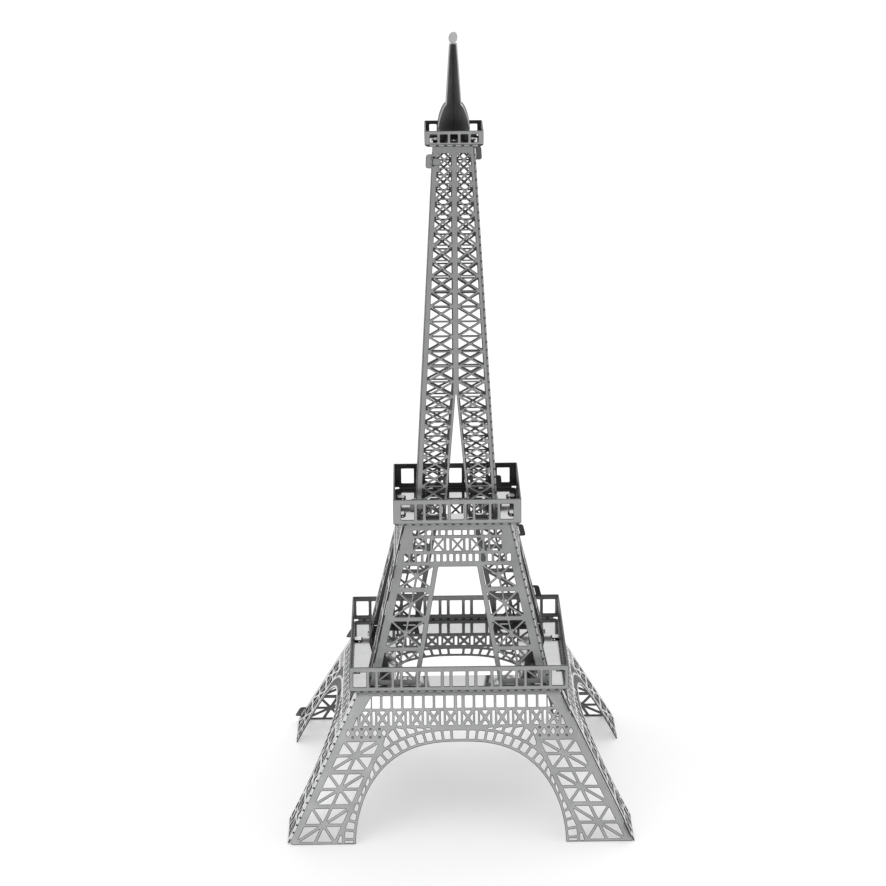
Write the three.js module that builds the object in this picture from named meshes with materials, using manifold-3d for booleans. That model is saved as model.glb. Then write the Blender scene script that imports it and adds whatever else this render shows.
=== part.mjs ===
// A fold-up souvenir model of an iron lattice tower: eleven pieces of thin stainless sheet, each cut flat,
// folded, and locked to its neighbours by tabs that pass through slots and are bent over.
// Millimetres, +Z up. The tower stands on Z = 0 with its axis on Z, and its front faces -Y.
import * as THREE from 'three';
import { mergeVertices } from 'three/addons/utils/BufferGeometryUtils.js';
import Module from 'manifold-3d';

const wasm = await Module();
wasm.setup();

// The sheet, and the fits between its pieces
const SHEET = 0.25; // thickness of every piece
const JOINT_GAP = 0.06; // between two pieces that face or rest on each other
const SLOT_PLAY = 0.12; // on each side of a tab in its slot
const LAP = 0.08; // how far two stretches of one folded sheet run into each other

// The square plan, as half-widths over the outer faces, and the heights of the floors and of the tip
const BASE_HALF = 30;
const LOWER_TOP_HALF = 17.7;
const MIDDLE_BASE_HALF = 15.9;
const MIDDLE_TOP_HALF = 9.45;
const UPPER_BASE_HALF = 7.2;
const UPPER_TOP_HALF = 3.6;
const FIRST_FLOOR_Z = 23.6;
const SECOND_FLOOR_Z = 51.4;
const TOP_FLOOR_Z = 116.8;
const TIP_Z = 135.6;

// Platforms: half-widths over the railings and of the opening in the floor, then the height of the railings,
// their number of wide openings, and the widths of those and of the narrow ones between them
const FIRST_PLATFORM = { half: 19, opening: 11, rail: 4.8, panes: 9, wide: 2.25, narrow: 0.97 };
const SECOND_PLATFORM = { half: 11.1, opening: 4.6, rail: 4.8, panes: 5, wide: 2.25, narrow: 0.97 };
const TOP_PLATFORM = { half: 5, opening: 0, rail: 2.8, panes: 5, wide: 1.25, narrow: 0 };
const RAIL_FOOT = 1.1; // solid strip under a railing's openings
const RAIL_CAP = 0.8; // solid strip over them
const RAIL_BAR = 0.54; // upright between two openings

// Locking tabs, which are bent flat once they are through their slots
const LEAF = 1.3; // length of the bent-over end
const SIDE_TAB = 1.3; // width of a tab on the edge of a tier
const FLOOR_TAB = 2; // width of a tab at its foot or head
const LOWER_HEAD_TAB_AT = 8; // distance of a head tab from the middle of its face
const MIDDLE_HEAD_TAB_AT = 5;
const MIDDLE_FOOT_TAB_IN = 4.5; // distance of a foot tab from the corner of the tower
const UPPER_FOOT_TAB_IN = 3;
const LOWER_EARS = { fromFoot: 2.4, fromHead: 2.3 }; // up the slope, to the middle of each joint
const MIDDLE_EARS = { fromFoot: 7, fromHead: 8.1 };
const UPPER_EARS = { fromFoot: 2.2, fromHead: 2.6 };
const EAR_REACH = 1.1; // of a slotted ear past the corner of the tower
const EAR_MARGIN = 0.55; // metal above and below the slot in an ear
const CHAMFER = 0.35; // on the corners of ears and leaves

// The lower tier: the arch, its ladder band, and the lattice legs beside it
const ARCH_HALF = 18.1;
const ARCH_RISE = 17.6;
const ARCH_SQUARENESS = 2.6; // 2 would make the arch half an ellipse
const BAND_WIDTH = 2.4;
const BAND_EDGE = 0.45; // solid strip along each side of the band
const LADDER_HOLES = 8; // in each half of the band, beside the wide one at the crown
const LADDER_SHARE = 0.72; // of the ladder's pitch that an opening takes
const LEG_STILE = 1.5; // solid strip along a corner of the tower
const LEG_WIDTH = 6.9; // of the braced strip beside it
const LEG_INNER_STILE = 0.6; // between that strip and the openings round the arch
const LEG_CELLS = 3;
const LEG_TOP = 18;
const SPANDREL_HOLES = 4;
const SPANDREL_FROM = THREE.MathUtils.degToRad(51); // seen from the middle of the arch's foot
const SPANDREL_TO = THREE.MathUtils.degToRad(76);
const SPANDREL_TOP = 19.9;
const SPANDREL_BAR = 0.4; // full width
const FRIEZE_BOXES = 12;
const FRIEZE_PITCH = 2.97;
const FRIEZE_BOTTOM = 20.3;
const FRIEZE_HEIGHT = 2.75;
const WINDOWS = 17;
const WINDOW_PITCH = 1.83;
const WINDOW_HEIGHT = 2.2;
const WINDOW_BAR = 0.44; // full width between two windows

// The middle tier: braced legs on each side of a gate, under a frieze between two rows of windows
const GATE_BASE_HALF = 7;
const GATE_TOP_HALF = 3.4;
const GATE_TOP = 20.6;
const GATE_STILE = 0.8; // solid strip beside the gate
const MIDDLE_CELLS = 4;
const MIDDLE_LEG_TOP = 21;
const MIDDLE_SLOTS = 7;
const MIDDLE_SLOT_HEIGHT = 1.4;
const MIDDLE_BOXES = 5;
const MIDDLE_BOX_PITCH = 3.35;
const MIDDLE_BOX_HEIGHT = 2.4;
const MIDDLE_WINDOWS = 7;
const MIDDLE_WINDOW_HEIGHT = 0.95;

// The upper tier: two columns of braces beside a spine, which a long fork splits from the foot up
const UPPER_STILE = 0.8;
const SPINE_HALF = 0.38;
const UPPER_CELLS = 9;
const UPPER_HEAD = 1.2; // solid strip at the top
const FORK_TOP = 22;
const FORK_HALF = 2; // at its foot

// Bars of the lattice, as shares of a box's pitch and as half-widths
const BOX_SHARE = 0.58;
const GAP_SHARE = 0.16;
const PANE_BAR = 0.6; // full width between two windows of the middle tier
const FRAME_BAR = 0.28;
const BRACE_BAR = 0.26;

// The spire: two plates halved into each other, standing across the corners of the top platform
const SPIRE_BASE_HALF = 3.8;
const DOME_BASE_Z = 119.6;
const DOME_TOP_Z = 123.4;
const DOME_TOP_HALF = 1.85;
const DOME_ROUNDNESS = 1.22; // 2 would make each side of the dome a quarter of an ellipse
const SPIRE_TOP_HALF = 0.9;
const SPIRE_NECK_HALF = 0.45;
const DISC_RADIUS = 1.02;
const HALVING_Z = 125.2; // where the two halving slots meet
const SPIRE_TAB = 0.9; // width of a spire's foot tabs
const SPIRE_TAB_AT = 2.7; // distance of a foot tab from the axis
const SPIRE_TAB_DEPTH = 0.6;

// Straight stretches along each half of the arch, along the dome, and round the disc
const ARCH_STEPS = 20;
const DOME_STEPS = 6;
const DISC_STEPS = 16;

const TOUCHING = 1e-5; // points closer than this are one point

const STEEL = { color: 0xb9bbbd, metalness: 1, roughness: 0.32, flatShading: true };

const { lerp, mapLinear } = THREE.MathUtils;
const point = (u, s) => new THREE.Vector2(u, s);
const mirrored = (outline) => outline.map((p) => point(-p.x, p.y));
const flip = (outline) => mirrored(outline).reverse();
const bothSides = (outlines) => [...outlines, ...outlines.map(flip)];
const times = (count, make) => Array.from({ length: count }, (_, i) => make(i));
const rectangle = (left, right, bottom, top) => [
  point(left, bottom), point(right, bottom), point(right, top), point(left, top),
];

/** Where the line through a along v meets the line through b along w. */
function crossing(a, v, b, w) {
  return a.clone().addScaledVector(v, b.clone().sub(a).cross(w) / v.cross(w));
}

/** A counter-clockwise outline with each edge moved inwards by its own margin. */
function inset(corners, margins) {
  const edges = corners.map((corner, i) => {
    const run = corners[(i + 1) % corners.length].clone().sub(corner).normalize();
    return { run, start: corner.clone().addScaledVector(point(-run.y, run.x), margins[i]) };
  });
  return edges.map((edge, i) => {
    const before = edges[(i + edges.length - 1) % edges.length];
    return crossing(before.start, before.run, edge.start, edge.run);
  });
}

/** The four openings that two crossed braces leave in a cell, from its corners counter-clockwise. */
function bracedCell(corners) {
  const [a, b, c, d] = corners;
  const middle = crossing(a, c.clone().sub(a), b, d.clone().sub(b));
  return corners.map((corner, i) => (
    inset([corner, corners[(i + 1) % 4], middle], [FRAME_BAR, BRACE_BAR, BRACE_BAR])
  ));
}

/** Stacked braced cells between two lines, which inner and outer give at any height. */
function bracedColumn(cells, bottom, top, inner, outer) {
  return times(cells, (i) => {
    const [low, high] = [lerp(bottom, top, i / cells), lerp(bottom, top, (i + 1) / cells)];
    return bracedCell([
      point(inner(low), low), point(outer(low), low), point(outer(high), high), point(inner(high), high),
    ]);
  }).flat();
}

/** Equal openings in a row, centred on u = 0. */
function windowRow(count, pitch, width, bottom, height) {
  return times(count, (i) => {
    const middle = (i - (count - 1) / 2) * pitch;
    return rectangle(middle - width / 2, middle + width / 2, bottom, bottom + height);
  });
}

/** A row of boxes with a narrow slot between each two. */
function frieze(boxes, pitch, bottom, height) {
  return [
    ...windowRow(boxes, pitch, pitch * BOX_SHARE, bottom, height),
    ...windowRow(boxes - 1, pitch, pitch * GAP_SHARE, bottom, height),
  ];
}

/** A closed geometry as a solid. */
function solid(geometry) {
  const bare = geometry.clone();
  bare.deleteAttribute('normal');
  bare.deleteAttribute('uv');
  const merged = mergeVertices(bare, TOUCHING);
  return new wasm.Manifold(new wasm.Mesh({
    numProp: 3,
    vertProperties: new Float32Array(merged.attributes.position.array),
    triVerts: new Uint32Array(merged.index.array),
  }));
}

/** A solid as a geometry. */
function surface(shape) {
  const { vertProperties, triVerts } = shape.getMesh();
  const geometry = new THREE.BufferGeometry();
  geometry.setAttribute('position', new THREE.BufferAttribute(vertProperties, 3));
  return geometry.setIndex(new THREE.BufferAttribute(triVerts, 1));
}

/** An outline drawn up into a solid between two heights over the drawing plane. */
function extrusion(outline, bottom, top) {
  const once = outline.filter((p, i) => p.distanceTo(outline[(i + 1) % outline.length]) > TOUCHING);
  const options = { depth: top - bottom, bevelEnabled: false };
  return solid(new THREE.ExtrudeGeometry(new THREE.Shape(once), options).translate(0, 0, bottom));
}

/** A pierced flat sheet, its outer side at a height over the drawing plane, moved to its place. */
function cutSheet(outline, holes, outerSide, matrix) {
  const blank = extrusion(outline, outerSide - SHEET, outerSide);
  const flat = holes.reduce((sheet, hole) => (
    sheet.subtract(extrusion(hole, outerSide - 2 * SHEET, outerSide + SHEET))
  ), blank);
  return solid(surface(flat).applyMatrix4(matrix));
}

/** A named mesh of one piece. */
function piece(name, shape) {
  const mesh = new THREE.Mesh(surface(shape), new THREE.MeshStandardMaterial(STEEL));
  mesh.name = name;
  return mesh;
}

/** A tier of four leaning faces that starts at height 0. Distances up a face run along its slope. */
function tier(z, height, bottomHalf, topHalf) {
  const lean = Math.atan2(bottomHalf - topHalf, height);
  return {
    z,
    bottomHalf,
    topHalf,
    height,
    lean,
    slope: height / Math.cos(lean),
    plan: SHEET / Math.cos(lean), // thickness of a face, measured level
    drop: SHEET * Math.sin(lean), // of a face's inner edge below its outer edge
    halfAt: (s) => bottomHalf - s * Math.sin(lean),
    face: (quarter) => new THREE.Matrix4().makeRotationZ(quarter * Math.PI / 2)
      .multiply(new THREE.Matrix4().makeTranslation(0, -bottomHalf, 0))
      .multiply(new THREE.Matrix4().makeRotationX(Math.PI / 2 - lean)),
  };
}

/** A tier that stands on one floor and reaches the next one. */
function tierBetween(floorZ, nextFloorZ, bottomHalf, topHalf) {
  const lean = Math.atan2(bottomHalf - topHalf, nextFloorZ - floorZ);
  const z = floorZ + SHEET * (1 + Math.sin(lean)) + JOINT_GAP;
  return tier(z, nextFloorZ - JOINT_GAP - z, bottomHalf, topHalf);
}

/** A tier with two joints up each open corner, and with what else its sheets have. */
function lockedTier(level, ears, rest) {
  return { ...level, sideJoints: [ears.fromFoot, level.slope - ears.fromHead], ...rest };
}

// Each tier is two folded sheets of two faces, numbered in quarter turns from the front. The even faces are
// open on one side (1 is the right, seen from outside) and the odd ones on the other. At each open corner an
// eared face has slotted ears, and the face round the corner has the tabs. Side joints are heights up the
// slope, and foot and head tabs are places across it. Foot tabs are bent inwards, and head tabs inwards (1)
// or outwards (-1), where the next tier leaves no room inside.
const lower = lockedTier(tier(0, FIRST_FLOOR_Z - JOINT_GAP, BASE_HALF, LOWER_TOP_HALF), LOWER_EARS, {
  sheets: [[0, 3], [2, 1]],
  evenOpen: 1,
  eared: [1, 2],
  footTabs: [],
  headTabs: [-LOWER_HEAD_TAB_AT, LOWER_HEAD_TAB_AT],
  headBend: -1,
});
const middleShape = tierBetween(FIRST_FLOOR_Z, SECOND_FLOOR_Z, MIDDLE_BASE_HALF, MIDDLE_TOP_HALF);
const middle = lockedTier(middleShape, MIDDLE_EARS, {
  sheets: [[0, 1], [2, 3]],
  evenOpen: -1,
  eared: [2, 3],
  footTabs: [MIDDLE_FOOT_TAB_IN - MIDDLE_BASE_HALF, MIDDLE_BASE_HALF - MIDDLE_FOOT_TAB_IN],
  headTabs: [-MIDDLE_HEAD_TAB_AT, MIDDLE_HEAD_TAB_AT],
  headBend: -1,
});
const upperShape = tierBetween(SECOND_FLOOR_Z, TOP_FLOOR_Z, UPPER_BASE_HALF, UPPER_TOP_HALF);
const upper = lockedTier(upperShape, UPPER_EARS, {
  sheets: [[0, 1], [2, 3]],
  evenOpen: -1,
  eared: [0, 2],
  footTabs: [UPPER_FOOT_TAB_IN - UPPER_BASE_HALF, UPPER_BASE_HALF - UPPER_FOOT_TAB_IN],
  headTabs: [0],
  headBend: 1,
});

const lowerOuter = (s) => lower.halfAt(s) - LEG_STILE;
const lowerInner = (s) => lowerOuter(s) - LEG_WIDTH;

/** A point of the arch's right half, or of a curve outside it, at a share of the way from foot to crown. */
function archAt(share, grow) {
  const turn = share * Math.PI / 2;
  return point(
    (ARCH_HALF + grow) * Math.max(Math.cos(turn), 0) ** (2 / ARCH_SQUARENESS),
    (ARCH_RISE + grow) * Math.sin(turn),
  );
}

/** The opening between two rungs of the ladder band, which is narrower where the leg runs into it. */
function ladderHole(from, to) {
  const far = (share) => {
    const free = archAt(share, BAND_WIDTH - BAND_EDGE);
    return point(Math.min(free.x, lowerInner(free.y) - LEG_INNER_STILE / 2), free.y);
  };
  return [archAt(from, BAND_EDGE), far(from), far(to), archAt(to, BAND_EDGE)];
}

/** The opening between two bars that radiate from the arch to the frieze or to the leg beside it. */
function spandrelHole(from, to) {
  const legFoot = lowerInner(0) - LEG_INNER_STILE;
  const bandReach = (angle) => {
    const onBand = (reach) => (
      (reach * Math.cos(angle) / (ARCH_HALF + BAND_WIDTH)) ** ARCH_SQUARENESS
      + (reach * Math.sin(angle) / (ARCH_RISE + BAND_WIDTH)) ** 2 - 1
    );
    let [inside, outside] = [0, ARCH_HALF + ARCH_RISE];
    while (outside - inside > TOUCHING) {
      const half = (inside + outside) / 2;
      if (onBand(half) < 0) inside = half;
      else outside = half;
    }
    return inside;
  };
  const edgeReach = (angle) => Math.min(
    SPANDREL_TOP / Math.sin(angle),
    legFoot / (Math.cos(angle) + Math.sin(lower.lean) * Math.sin(angle)),
  );
  const end = (angle, reach, side) => point(reach * Math.cos(angle), reach * Math.sin(angle))
    .addScaledVector(point(Math.sin(angle), -Math.cos(angle)), side * SPANDREL_BAR / 2);
  return [
    end(from, bandReach(from), -1), end(from, edgeReach(from), -1),
    end(to, edgeReach(to), 1), end(to, bandReach(to), 1),
  ];
}

/** A lower face: the arch between its feet, and its openings. */
function lowerFace() {
  const legs = bracedColumn(LEG_CELLS, FRAME_BAR, LEG_TOP, lowerInner, lowerOuter);
  const pitch = 1 / (LADDER_HOLES + 0.5);
  const margin = (1 - LADDER_SHARE) / 2;
  const ladder = times(LADDER_HOLES, (i) => ladderHole((i + margin) * pitch, (i + 1 - margin) * pitch));
  const [crownNear, crownFar] = ladderHole((LADDER_HOLES + margin) * pitch, 1);
  const spread = (SPANDREL_TO - SPANDREL_FROM) / SPANDREL_HOLES;
  const spandrels = times(SPANDREL_HOLES, (i) => (
    spandrelHole(SPANDREL_FROM + i * spread, SPANDREL_FROM + (i + 1) * spread)
  ));
  const windowBottom = FRIEZE_BOTTOM + FRIEZE_HEIGHT + FRAME_BAR;
  return {
    notch: times(ARCH_STEPS + 1, (i) => archAt(i / ARCH_STEPS, 0)),
    holes: [
      ...bothSides([...legs, ...ladder, ...spandrels]),
      [crownNear, crownFar, ...flip([crownNear, crownFar])],
      ...frieze(FRIEZE_BOXES, FRIEZE_PITCH, FRIEZE_BOTTOM, FRIEZE_HEIGHT),
      ...windowRow(WINDOWS, WINDOW_PITCH, WINDOW_PITCH - WINDOW_BAR, windowBottom, WINDOW_HEIGHT),
    ],
  };
}

/** A middle face: the gate between its legs, and its openings. */
function middleFace() {
  const gateHalf = (s) => mapLinear(s, 0, GATE_TOP, GATE_BASE_HALF, GATE_TOP_HALF);
  const inner = (s) => gateHalf(s) + GATE_STILE - FRAME_BAR;
  const outer = (s) => middle.halfAt(s) - LEG_STILE;
  const slotBottom = MIDDLE_LEG_TOP + FRAME_BAR;
  const boxBottom = slotBottom + MIDDLE_SLOT_HEIGHT + 2 * FRAME_BAR;
  const windowBottom = boxBottom + MIDDLE_BOX_HEIGHT + FRAME_BAR;
  const paneRow = (count, bottom, height) => {
    const pitch = 2 * outer(bottom + height) / count;
    return windowRow(count, pitch, pitch - PANE_BAR, bottom, height);
  };
  return {
    notch: [point(gateHalf(0), 0), point(gateHalf(GATE_TOP), GATE_TOP)],
    holes: [
      ...bothSides(bracedColumn(MIDDLE_CELLS, FRAME_BAR, MIDDLE_LEG_TOP, inner, outer)),
      ...paneRow(MIDDLE_SLOTS, slotBottom, MIDDLE_SLOT_HEIGHT),
      ...frieze(MIDDLE_BOXES, MIDDLE_BOX_PITCH, boxBottom, MIDDLE_BOX_HEIGHT),
      ...paneRow(MIDDLE_WINDOWS, windowBottom, MIDDLE_WINDOW_HEIGHT),
    ],
  };
}

/** An upper face: the fork that splits its foot, and its openings. */
function upperFace() {
  const outer = (s) => upper.halfAt(s) - UPPER_STILE + FRAME_BAR;
  const forkHalf = (s) => Math.max(mapLinear(s, 0, FORK_TOP, FORK_HALF, 0), 0);
  const inner = (s) => forkHalf(s) + SPINE_HALF - FRAME_BAR;
  return {
    notch: [point(FORK_HALF, 0), point(0, FORK_TOP)],
    holes: bothSides(bracedColumn(UPPER_CELLS, FRAME_BAR, upper.slope - UPPER_HEAD, inner, outer)),
  };
}

/** The right edge of a face between two heights, trimmed back from the corner, with ears, tabs or neither. */
function sideEdge(level, foot, head, trim, bump) {
  const edge = (s, past) => point(level.halfAt(s) + past, s);
  const ear = (low, high) => [
    edge(low, -trim), edge(low, EAR_REACH - CHAMFER), edge(low + CHAMFER, EAR_REACH),
    edge(high - CHAMFER, EAR_REACH), edge(high, EAR_REACH - CHAMFER), edge(high, -trim),
  ];
  const reach = JOINT_GAP + SHEET - LAP;
  const tab = (low, high) => [edge(low, -trim), edge(low, reach), edge(high, reach), edge(high, -trim)];
  const bumps = { ear, tab, none: () => [] }[bump];
  const half = SIDE_TAB / 2 + (bump === 'ear' ? EAR_MARGIN : 0);
  const joints = level.sideJoints.flatMap((at) => bumps(at - half, at + half));
  return [edge(foot, -trim), ...joints, edge(head, -trim)];
}

/** The slot in an ear, on the right side of a face. */
function earSlot(level, at) {
  const low = at - SIDE_TAB / 2 - SLOT_PLAY - SHEET * Math.tan(level.lean);
  const high = at + SIDE_TAB / 2 + SLOT_PLAY;
  const edge = (s, past) => point(level.halfAt(s) + past, s);
  const inside = -level.plan - SLOT_PLAY;
  return [edge(low, inside), edge(low, SLOT_PLAY), edge(high, SLOT_PLAY), edge(high, inside)];
}

/** How far a floor tab runs up or down its face before it is bent, from the edge of the face. */
const headTabRun = (level) => (2 * (SHEET + JOINT_GAP) - LAP) / Math.cos(level.lean);
const footTabRun = (level) => (3 * SHEET + 2 * JOINT_GAP - LAP) / Math.cos(level.lean);

/** Tabs along an edge of a face, from left to right, that reach past it by a run. */
const edgeTabs = (places, edge, run) => places.flatMap((u) => [
  point(u - FLOOR_TAB / 2, edge), point(u - FLOOR_TAB / 2, edge + run),
  point(u + FLOOR_TAB / 2, edge + run), point(u + FLOOR_TAB / 2, edge),
]);

/** The whole outline of a face, counter-clockwise from its left foot. */
function faceOutline(level, notch, right, left) {
  const [foot, head] = [right[0].y, right.at(-1).y];
  const footRun = footTabRun(level) + foot;
  const feet = (side) => edgeTabs(level.footTabs.filter((u) => u * side > 0), foot, -footRun);
  const headRun = level.slope + headTabRun(level) - head;
  const heads = edgeTabs(level.headTabs, head, headRun).reverse();
  const gate = [point(notch[0].x, foot), ...notch];
  return [...feet(-1), ...mirrored(gate), ...gate.reverse(), ...feet(1), ...right, ...heads, ...flip(left)];
}

/** The bent-over end of a tab, in a drawing plane with the tab's bend along v = 0. */
function leafOutline(width) {
  const half = width / 2 - LAP;
  return [
    point(-half, 0), point(half, 0), point(half, LEAF - CHAMFER), point(half - CHAMFER, LEAF),
    point(CHAMFER - half, LEAF), point(-half, LEAF - CHAMFER),
  ];
}

/** The leaves of the tabs at the foot and head of a face, lying under one floor and over the next. */
function floorLeaves(level, quarter) {
  const place = (u, s, z, bend) => new THREE.Matrix4().makeRotationZ(quarter * Math.PI / 2)
    .multiply(new THREE.Matrix4().makeTranslation(u, level.plan / 2 - level.halfAt(s), z))
    .multiply(new THREE.Matrix4().makeRotationZ(bend > 0 ? 0 : Math.PI));
  const overHead = level.height + 2 * JOINT_GAP + SHEET;
  const underFoot = -2 * (SHEET + JOINT_GAP) - level.drop - SHEET;
  const leaf = (matrix) => cutSheet(leafOutline(FLOOR_TAB), [], SHEET, matrix);
  return [
    ...level.headTabs.map((u) => leaf(place(u, level.slope + headTabRun(level), overHead, level.headBend))),
    ...level.footTabs.map((u) => leaf(place(u, -footTabRun(level), underFoot, 1))),
  ];
}

/** The leaves of the tabs on a face's open side, lying on the eared face round the corner. */
function sideLeaves(level, quarter, openSide) {
  const onFace = level.face(quarter + openSide);
  return level.sideJoints.map((at) => {
    const along = -openSide * (Math.PI / 2 + Math.atan(Math.sin(level.lean)));
    const bend = new THREE.Matrix4().makeTranslation(-openSide * (level.halfAt(at) - level.plan / 2), at, 0)
      .multiply(new THREE.Matrix4().makeRotationZ(along));
    return cutSheet(leafOutline(SIDE_TAB), [], JOINT_GAP + SHEET, onFace.clone().multiply(bend));
  });
}

/** One folded sheet of a tier: an even and an odd face, joined along their shared corner. */
function foldedSheet(level, quarters, { notch, holes }) {
  const mirror = (outlines, side) => (side > 0 ? outlines : outlines.map(flip));
  const faces = quarters.map((quarter) => {
    const even = quarter % 2 === 0;
    const eared = level.eared.includes(quarter);
    const short = even ? 0 : SHEET / 2; // so that no two edges of the fold lie in one plane
    const [foot, head] = [level.z > 0 ? short : -SHEET, level.slope - short];
    const folded = sideEdge(level, foot, head, SHEET / 2, 'none');
    const open = sideEdge(level, foot, head, eared ? 0 : level.plan + JOINT_GAP, eared ? 'ear' : 'tab');
    const openSide = even ? level.evenOpen : -level.evenOpen;
    const [right, left] = openSide > 0 ? [open, folded] : [folded, open];
    const slots = eared ? level.sideJoints.map((at) => earSlot(level, at)) : [];
    const outline = faceOutline(level, notch, right, left);
    const face = cutSheet(outline, [...holes, ...mirror(slots, openSide)], 0, level.face(quarter));
    const leaves = [...floorLeaves(level, quarter), ...(eared ? [] : sideLeaves(level, quarter, openSide))];
    return leaves.reduce((whole, leaf) => whole.add(leaf), face);
  });
  const whole = faces[0].add(faces[1]);
  const across = 3 * level.bottomHalf; // reaches past both feet
  const ground = new THREE.BoxGeometry(across, across, across).translate(0, 0, -across / 2);
  return level.z > 0 ? whole : whole.subtract(solid(ground));
}

/** The two sheets of a tier as meshes. */
function tierPieces(level, face, names) {
  return names.map((name, i) => {
    const mesh = piece(name, foldedSheet(level, level.sheets[i], face));
    mesh.position.z = level.z;
    return mesh;
  });
}

/** Slots in a floor for the head tabs of the tier below it, on the front side. */
function headSlots(level) {
  const outside = -level.topHalf - SLOT_PLAY;
  const inside = -level.topHalf + level.plan + (SHEET + JOINT_GAP) * Math.tan(level.lean) + SLOT_PLAY;
  const half = FLOOR_TAB / 2 + SLOT_PLAY;
  return level.headTabs.map((u) => rectangle(u - half, u + half, outside, inside));
}

/** Slots in a floor for the foot tabs of the tier that stands on it, on the front side. */
function footSlots(level) {
  const depth = (floors) => (floors * SHEET + JOINT_GAP + level.drop) * Math.tan(level.lean);
  const outside = -level.bottomHalf - depth(1) - SLOT_PLAY;
  const inside = -level.bottomHalf + level.plan - depth(0) + SLOT_PLAY;
  const half = FLOOR_TAB / 2 + SLOT_PLAY;
  return level.footTabs.map((u) => rectangle(u - half, u + half, outside, inside));
}

/** Slots in a floor for the tiers under and on it, on the front side. */
const floorSlots = (under, on) => [...headSlots(under), ...footSlots(on)];

/** Openings of a railing, a wide one first and last, with a narrow one between each two. */
function railHoles({ half, rail, panes, wide, narrow }) {
  const pitch = wide + RAIL_BAR + (narrow ? narrow + RAIL_BAR : 0);
  const height = rail - RAIL_FOOT - RAIL_CAP;
  return [
    ...windowRow(panes, pitch, wide, RAIL_FOOT, height),
    ...(narrow ? windowRow(panes - 1, pitch, narrow, RAIL_FOOT, height) : []),
  ];
}

/** A platform: one sheet whose four railings are folded up round its slotted floor. */
function platform(name, z, size, frontSlots, cornerSlots) {
  const edge = size.half - SHEET / 2;
  const turned = (outline, quarter) => outline.map((p) => (
    p.clone().rotateAround(point(0, 0), quarter * Math.PI / 2)
  ));
  const slots = times(4, (quarter) => frontSlots.map((slot) => turned(slot, quarter))).flat();
  const opening = size.opening ? [rectangle(-size.opening, size.opening, -size.opening, size.opening)] : [];
  const openings = [...opening, ...slots, ...cornerSlots];
  const floor = cutSheet(rectangle(-edge, edge, -edge, edge), openings, SHEET, new THREE.Matrix4());
  const railings = times(4, (quarter) => {
    const half = size.half - (quarter % 2) * (SHEET + JOINT_GAP);
    const upright = new THREE.Matrix4().makeRotationZ(quarter * Math.PI / 2)
      .multiply(new THREE.Matrix4().makeTranslation(0, -size.half, 0))
      .multiply(new THREE.Matrix4().makeRotationX(Math.PI / 2));
    return cutSheet(rectangle(-half, half, -LAP, size.rail), railHoles(size), 0, upright);
  });
  const mesh = piece(name, railings.reduce((whole, railing) => whole.add(railing), floor));
  mesh.position.z = z;
  return mesh;
}

/** The right half of a spire plate from its foot to the top of its taper, as heights over the top floor. */
function spireEdge() {
  const foot = SHEET + JOINT_GAP;
  const height = (z) => z - TOP_FLOOR_Z;
  const taperTop = height(TIP_Z) - 2 * DISC_RADIUS;
  const bulge = 2 / DOME_ROUNDNESS;
  const dome = times(DOME_STEPS + 1, (i) => {
    const turn = i / DOME_STEPS * Math.PI / 2;
    return point(
      DOME_TOP_HALF + (SPIRE_BASE_HALF - DOME_TOP_HALF) * Math.max(Math.cos(turn), 0) ** bulge,
      height(DOME_BASE_Z) + (DOME_TOP_Z - DOME_BASE_Z) * Math.sin(turn) ** bulge,
    );
  });
  const tab = [
    point(SPIRE_TAB_AT - SPIRE_TAB / 2, foot), point(SPIRE_TAB_AT - SPIRE_TAB / 2, -SPIRE_TAB_DEPTH),
    point(SPIRE_TAB_AT + SPIRE_TAB / 2, -SPIRE_TAB_DEPTH), point(SPIRE_TAB_AT + SPIRE_TAB / 2, foot),
  ];
  return [...tab, point(SPIRE_BASE_HALF, foot), ...dome, point(SPIRE_TOP_HALF, taperTop)];
}

/** One of the two spire plates, turned to its diagonal, with its halving slot open at one end. */
function spirePlate(name, turn, top, slotFrom, slotTo) {
  const edge = spireEdge();
  const slotHalf = SHEET / 2 + JOINT_GAP;
  const height = (z) => z - TOP_FLOOR_Z;
  const upright = new THREE.Matrix4().makeRotationX(Math.PI / 2);
  const plate = cutSheet([...edge, ...top, ...flip(edge)], [], SHEET / 2, upright);
  const slot = new THREE.BoxGeometry(2 * slotHalf, 2 * SHEET, slotTo - slotFrom);
  const mesh = piece(name, plate.subtract(solid(slot.translate(0, 0, height((slotFrom + slotTo) / 2)))));
  mesh.position.z = TOP_FLOOR_Z;
  mesh.rotation.z = turn;
  return mesh;
}

/** The round finial over the neck of a spire plate, from its right side to its left. */
function discOutline() {
  const centre = TIP_Z - TOP_FLOOR_Z - DISC_RADIUS;
  const from = -Math.acos(SPIRE_NECK_HALF / DISC_RADIUS);
  return times(DISC_STEPS + 1, (i) => {
    const turn = mapLinear(i, 0, DISC_STEPS, from, Math.PI - from);
    return point(DISC_RADIUS * Math.cos(turn), centre + DISC_RADIUS * Math.sin(turn));
  });
}

/** Slots in the top floor for the foot tabs of the two spire plates. */
function spireSlots() {
  const half = SPIRE_TAB / 2 + SLOT_PLAY;
  const across = SHEET / 2 + SLOT_PLAY;
  const slot = rectangle(SPIRE_TAB_AT - half, SPIRE_TAB_AT + half, -across, across);
  return times(4, (i) => slot.map((p) => p.clone().rotateAround(point(0, 0), (i + 0.5) * Math.PI / 2)));
}

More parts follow.
